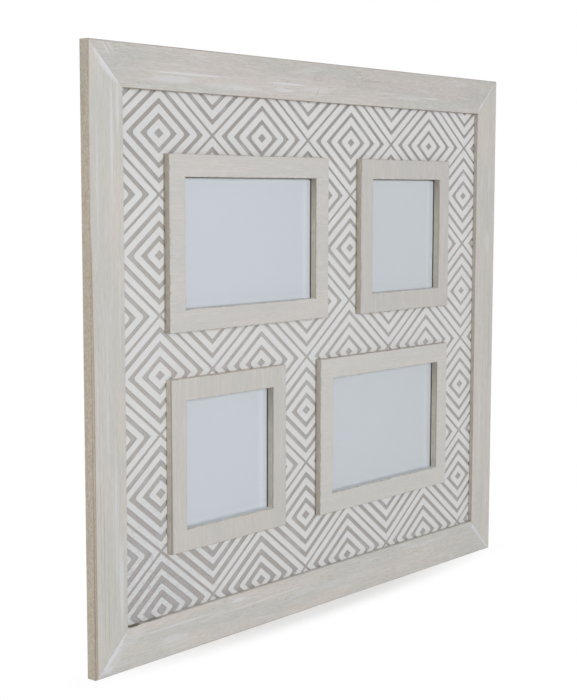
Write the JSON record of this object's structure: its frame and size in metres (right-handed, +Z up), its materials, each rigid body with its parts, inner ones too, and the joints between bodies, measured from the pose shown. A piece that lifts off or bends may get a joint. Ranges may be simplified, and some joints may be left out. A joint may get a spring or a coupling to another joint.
{
  "type": "collage photo frame",
  "caption": "Wall-hung collage photo frame: mitred washed-wood rails, a panel with a raised white diamond pattern, glazed surrounds for prints, and turn buttons at the back.",
  "frame": {"origin": "centre of the box around the whole frame", "axes": "+X to the viewer's right along the width, +Y from the viewer to the wall, +Z up"},
  "size_m": [0.489, 0.0102, 0.427],
  "materials": {
    "rail_wood": "pale washed wood, matt, grain along each rail",
    "surround_wood": "pale washed wood, matt, brushed grain",
    "board_paint": "fibreboard painted matt warm grey",
    "white_coat": "thick matt white coat, slightly uneven",
    "pane_glass": "clear float glass",
    "insert_paper": "blank pale blue-grey sheet",
    "backing_board": "plain brown hardboard",
    "fastener_steel": "plain bright steel",
    "zinc_plate": "zinc-plated sheet steel"
  },
  "bodies": {
    "frame": {"bottom_rail": "rail_wood", "top_rail": "rail_wood", "left_rail": "rail_wood", "right_rail": "rail_wood", "mitre_nails": "fastener_steel", "panel_board": "board_paint", "white_pattern": "white_coat", "button_screws": "fastener_steel", "surround_pins": "fastener_steel", "rail_pins": "fastener_steel", "keyhole_hanger_left": "zinc_plate", "keyhole_hanger_right": "zinc_plate", "hanger_screws": "fastener_steel", "surround_top_left": "surround_wood", "glass_top_left": "pane_glass", "insert_top_left": "insert_paper", "backing_top_left": "backing_board", "surround_top_right": "surround_wood", "glass_top_right": "pane_glass", "insert_top_right": "insert_paper", "backing_top_right": "backing_board", "surround_bottom_left": "surround_wood", "glass_bottom_left": "pane_glass", "insert_bottom_left": "insert_paper", "backing_bottom_left": "backing_board", "surround_bottom_right": "surround_wood", "glass_bottom_right": "pane_glass", "insert_bottom_right": "insert_paper", "backing_bottom_right": "backing_board"},
    "turn_button_top_left_1": {"turn_button_top_left_1": "zinc_plate"},
    "turn_button_top_left_2": {"turn_button_top_left_2": "zinc_plate"},
    "turn_button_top_left_3": {"turn_button_top_left_3": "zinc_plate"},
    "turn_button_top_left_4": {"turn_button_top_left_4": "zinc_plate"},
    "turn_button_top_right_1": {"turn_button_top_right_1": "zinc_plate"},
    "turn_button_top_right_2": {"turn_button_top_right_2": "zinc_plate"},
    "turn_button_bottom_left_1": {"turn_button_bottom_left_1": "zinc_plate"},
    "turn_button_bottom_left_2": {"turn_button_bottom_left_2": "zinc_plate"},
    "turn_button_bottom_right_1": {"turn_button_bottom_right_1": "zinc_plate"},
    "turn_button_bottom_right_2": {"turn_button_bottom_right_2": "zinc_plate"},
    "turn_button_bottom_right_3": {"turn_button_bottom_right_3": "zinc_plate"},
    "turn_button_bottom_right_4": {"turn_button_bottom_right_4": "zinc_plate"}
  },
  "joints": [
    {"name": "swivel_top_left_1", "type": "hinge", "parent": "frame", "child": "turn_button_top_left_1", "pos_m": [-0.12795, 0.00398, 0.13535], "axis": [0, 1, 0], "continuous": true},
    {"name": "swivel_top_left_2", "type": "hinge", "parent": "frame", "child": "turn_button_top_left_2", "pos_m": [-0.04205, 0.00398, 0.13535], "axis": [0, 1, 0], "continuous": true},
    {"name": "swivel_top_left_3", "type": "hinge", "parent": "frame", "child": "turn_button_top_left_3", "pos_m": [-0.12795, 0.00398, 0.02275], "axis": [0, 1, 0], "continuous": true},
    {"name": "swivel_top_left_4", "type": "hinge", "parent": "frame", "child": "turn_button_top_left_4", "pos_m": [-0.04205, 0.00398, 0.02275], "axis": [0, 1, 0], "continuous": true},
    {"name": "swivel_top_right_1", "type": "hinge", "parent": "frame", "child": "turn_button_top_right_1", "pos_m": [0.107, 0.00398, 0.13535], "axis": [0, 1, 0], "continuous": true},
    {"name": "swivel_top_right_2", "type": "hinge", "parent": "frame", "child": "turn_button_top_right_2", "pos_m": [0.107, 0.00398, 0.02275], "axis": [0, 1, 0], "continuous": true},
    {"name": "swivel_bottom_left_1", "type": "hinge", "parent": "frame", "child": "turn_button_bottom_left_1", "pos_m": [-0.1104, 0.00398, -0.02175], "axis": [0, 1, 0], "continuous": true},
    {"name": "swivel_bottom_left_2", "type": "hinge", "parent": "frame", "child": "turn_button_bottom_left_2", "pos_m": [-0.1104, 0.00398, -0.13435], "axis": [0, 1, 0], "continuous": true},
    {"name": "swivel_bottom_right_1", "type": "hinge", "parent": "frame", "child": "turn_button_bottom_right_1", "pos_m": [0.03865, 0.00398, -0.02175], "axis": [0, 1, 0], "continuous": true},
    {"name": "swivel_bottom_right_2", "type": "hinge", "parent": "frame", "child": "turn_button_bottom_right_2", "pos_m": [0.12455, 0.00398, -0.02175], "axis": [0, 1, 0], "continuous": true},
    {"name": "swivel_bottom_right_3", "type": "hinge", "parent": "frame", "child": "turn_button_bottom_right_3", "pos_m": [0.03865, 0.00398, -0.13435], "axis": [0, 1, 0], "continuous": true},
    {"name": "swivel_bottom_right_4", "type": "hinge", "parent": "frame", "child": "turn_button_bottom_right_4", "pos_m": [0.12455, 0.00398, -0.13435], "axis": [0, 1, 0], "continuous": true}
  ]
}
